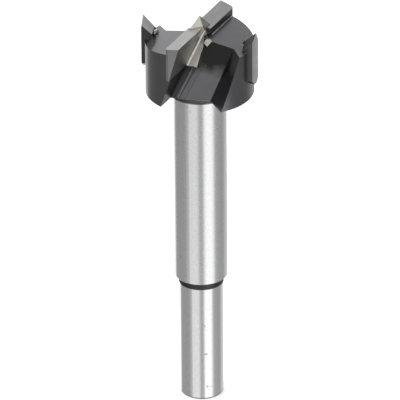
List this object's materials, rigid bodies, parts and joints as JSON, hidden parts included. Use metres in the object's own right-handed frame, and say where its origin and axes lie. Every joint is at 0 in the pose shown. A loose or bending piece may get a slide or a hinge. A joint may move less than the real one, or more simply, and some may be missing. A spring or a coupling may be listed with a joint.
{
  "type": "forstner bit",
  "caption": "Straight-shank boring bit with a round head, opposed cutters, rim spurs and a centre point for flat-bottomed holes in wood.",
  "frame": {"origin": "centre of the shank's end face, which is the foot that the bit stands on", "axes": "+Z along the axis of rotation from the shank to the centre point, the cutting edges along X, the bit turns counter-clockwise seen from +Z"},
  "size_m": [0.0348, 0.035, 0.1232],
  "materials": {
    "body_steel": "ground bright shank, black oxide head",
    "carbide": "ground grey carbide",
    "ground_carbide": "freshly ground carbide",
    "braze": "silver braze, dull"
  },
  "bodies": {
    "root": {"bit_body": "body_steel", "centre_point": "ground_carbide", "centre_braze": "braze", "cutter_1": "carbide", "cutter_2": "carbide", "cutter_braze_1": "braze", "cutter_braze_2": "braze", "spur_1": "carbide", "spur_2": "carbide", "spur_braze_1": "braze", "spur_braze_2": "braze"}
  },
  "joints": []
}
